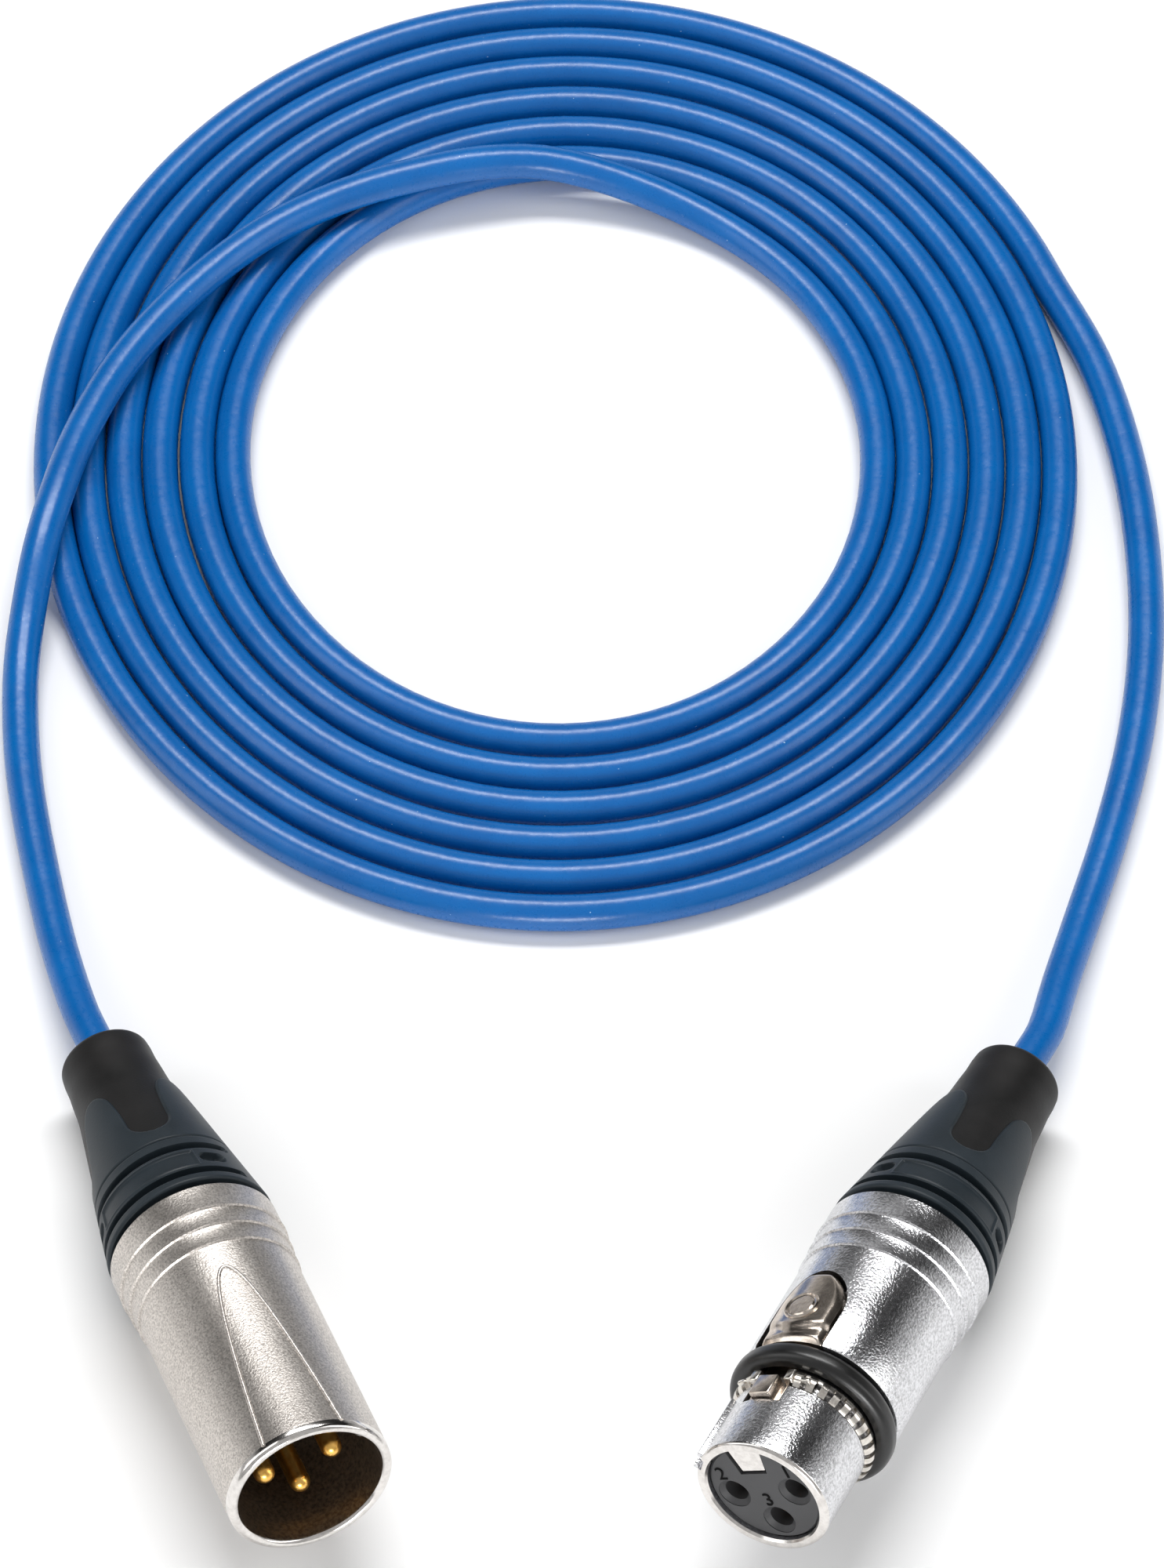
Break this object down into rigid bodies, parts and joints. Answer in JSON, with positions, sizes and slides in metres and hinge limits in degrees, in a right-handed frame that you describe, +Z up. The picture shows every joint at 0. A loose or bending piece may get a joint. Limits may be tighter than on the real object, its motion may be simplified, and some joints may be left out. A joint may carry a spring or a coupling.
{
  "type": "xlr cable coil",
  "caption": "Coiled microphone cable with a male and a female three-pole locking connector, each with a screw-on strain relief boot.",
  "frame": {"origin": "on the plane that the coil and the connectors lie on, midway between the two connectors", "axes": "+Z up; +Y from the connectors towards the middle of the coil; +X from the male connector towards the female one"},
  "size_m": [0.1408, 0.2385, 0.0249],
  "materials": {
    "blue_jacket": "satin extruded cable jacket",
    "black_rubber": "matte moulded rubber",
    "slate_nylon": "fine matte moulded nylon",
    "satin_nickel": "velour nickel plate on die-cast zinc",
    "bright_nickel": "bright fine-grained nickel plate",
    "warm_nickel": "smooth warm nickel plate",
    "gold_plate": "polished gold plate on brass",
    "black_insulator": "matte moulded plastic",
    "white_clamp": "plain moulded acetal",
    "spring_steel": "bright spring steel",
    "bare_screen": "twisted bare copper screen",
    "red_wire": "core insulation",
    "white_wire": "core insulation"
  },
  "bodies": {
    "cable_and_shells": {"cable_coil": "blue_jacket", "cable_tail_male": "blue_jacket", "cable_tail_female": "blue_jacket", "male_shell": "satin_nickel", "male_insert": "black_insulator", "male_pin_1": "gold_plate", "male_pin_2": "gold_plate", "male_pin_3": "gold_plate", "male_cable_end": "blue_jacket", "male_wire_1": "bare_screen", "male_wire_2": "red_wire", "male_wire_3": "white_wire", "female_shell": "bright_nickel", "female_nose": "bright_nickel", "female_insert": "black_insulator", "female_socket_1": "gold_plate", "female_socket_2": "gold_plate", "female_socket_3": "gold_plate", "female_ring": "black_rubber", "female_ground_ring": "spring_steel", "female_latch_pin": "spring_steel", "female_latch_spring": "spring_steel", "female_cable_end": "blue_jacket", "female_wire_1": "bare_screen", "female_wire_2": "red_wire", "female_wire_3": "white_wire"},
    "female_latch": {"female_latch_lever": "warm_nickel", "female_latch_badge": "warm_nickel"},
    "male_clamp": {"male_chuck": "white_clamp"},
    "male_boot": {"male_boot_nut": "slate_nylon", "male_boot_gland": "black_rubber"},
    "female_clamp": {"female_chuck": "white_clamp"},
    "female_boot": {"female_boot_nut": "slate_nylon", "female_boot_gland": "black_rubber"}
  },
  "joints": [
    {"name": "latch_press", "type": "hinge", "parent": "cable_and_shells", "child": "female_latch", "pos_m": [0.03, -0.00753, 0.01791], "axis": [0.7951, -0.3041, 0.5248], "range_deg": [0, 6], "stiffness_Nm_per_rad": 0.08, "springref_deg": -14.32},
    {"name": "male_clamp_slide", "type": "slide", "parent": "cable_and_shells", "child": "male_clamp", "axis": [-0.3678, 0.9194, -0.1392], "range_m": [0, 0.003]},
    {"name": "male_boot_unscrew", "type": "hinge", "parent": "male_clamp", "child": "male_boot", "pos_m": [-0.053, 0.0339, 0.00573], "axis": [-0.3678, 0.9194, -0.1392], "range_deg": [0, 722]},
    {"name": "female_clamp_slide", "type": "slide", "parent": "cable_and_shells", "child": "female_clamp", "axis": [0.4326, 0.8908, -0.1392], "range_m": [0, 0.003]},
    {"name": "female_boot_unscrew", "type": "hinge", "parent": "female_clamp", "child": "female_boot", "pos_m": [0.053, 0.0316, 0.00573], "axis": [0.4326, 0.8908, -0.1392], "range_deg": [0, 722]}
  ],
  "couplings": [
    {"joint": "male_boot_unscrew", "follows": "male_clamp_slide", "rad_per_m": 4188.8},
    {"joint": "female_boot_unscrew", "follows": "female_clamp_slide", "rad_per_m": 4188.8}
  ]
}
